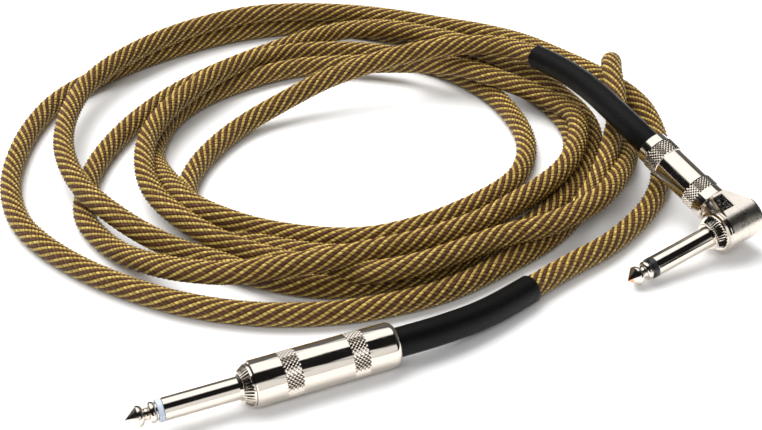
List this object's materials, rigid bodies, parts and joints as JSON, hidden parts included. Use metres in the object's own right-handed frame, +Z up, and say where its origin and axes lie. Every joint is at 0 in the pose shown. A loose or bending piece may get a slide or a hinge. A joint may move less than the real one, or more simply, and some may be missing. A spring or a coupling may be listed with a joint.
{
  "type": "instrument cable",
  "caption": "Braided quarter-inch instrument cable with a straight plug and a right-angle plug, lying in a loose coil; both plug handles unscrew.",
  "frame": {"origin": "on the surface the cable lies on, under the middle of the box around the two plugs and their sleeving", "axes": "+Z up; the coil lies towards -X and +Y, and the straight plug's tip points towards -X and a little -Y"},
  "size_m": [0.2426, 0.2436, 0.0265],
  "materials": {
    "nickel": "polished nickel plate",
    "braided_cover": "gold and brown braided yarn",
    "heat_shrink": "satin black",
    "white_insulator": "milky",
    "black_insulator": "satin",
    "copper_tip": "worn to the copper",
    "fibre": "vulcanised fibre",
    "liner_plastic": "thin plastic tube",
    "solder": "satin",
    "tinned_brass": "tinned",
    "core_plastic": "smooth",
    "copper_strand": "bare stranded copper"
  },
  "bodies": {
    "root": {"angle_cable_clamp": "tinned_brass", "angle_conductor": "copper_strand", "angle_core": "core_plastic", "angle_fibre_washer": "fibre", "angle_finger": "nickel", "angle_ground_solder": "solder", "angle_head_body": "nickel", "angle_head_cover": "nickel", "angle_heat_shrink": "heat_shrink", "angle_insulator": "black_insulator", "angle_lead": "braided_cover", "angle_shield_pigtail": "copper_strand", "angle_tip_contact": "copper_tip", "angle_tip_lug": "tinned_brass", "angle_tip_solder": "solder", "angle_tip_washer": "fibre", "coil": "braided_cover", "straight_cable_clamp": "tinned_brass", "straight_conductor": "copper_strand", "straight_core": "core_plastic", "straight_fibre_washer": "fibre", "straight_finger": "nickel", "straight_ground_solder": "solder", "straight_heat_shrink": "heat_shrink", "straight_insulator": "white_insulator", "straight_lead": "braided_cover", "straight_shield_pigtail": "copper_strand", "straight_tip_contact": "nickel", "straight_tip_lug": "tinned_brass", "straight_tip_solder": "solder", "straight_tip_washer": "fibre"},
    "straight_liner_body": {"straight_liner": "liner_plastic"},
    "straight_handle_body": {"straight_handle": "nickel"},
    "angle_liner_body": {"angle_liner": "liner_plastic"},
    "angle_handle_body": {"angle_handle": "nickel"}
  },
  "joints": [
    {"name": "straight_handle_slide", "type": "slide", "parent": "root", "child": "straight_liner_body", "axis": [0.91, 0.4147, 0], "range_m": [0, 0.006]},
    {"name": "straight_handle_turn", "type": "hinge", "parent": "straight_liner_body", "child": "straight_handle_body", "pos_m": [-0.0457, -0.06786, 0.00635], "axis": [0.91, 0.4147, 0], "range_deg": [0, 2200]},
    {"name": "angle_handle_slide", "type": "slide", "parent": "root", "child": "angle_liner_body", "axis": [-0.5449, 0.7987, 0.2554], "range_m": [0, 0.006]},
    {"name": "angle_handle_turn", "type": "hinge", "parent": "angle_liner_body", "child": "angle_handle_body", "pos_m": [0.0701, 0.01397, 0.01431], "axis": [-0.5449, 0.7987, 0.2554], "range_deg": [0, 2200]}
  ],
  "couplings": [
    {"joint": "straight_handle_turn", "follows": "straight_handle_slide", "rad_per_m": 6283.2},
    {"joint": "angle_handle_turn", "follows": "angle_handle_slide", "rad_per_m": 6283.2}
  ]
}
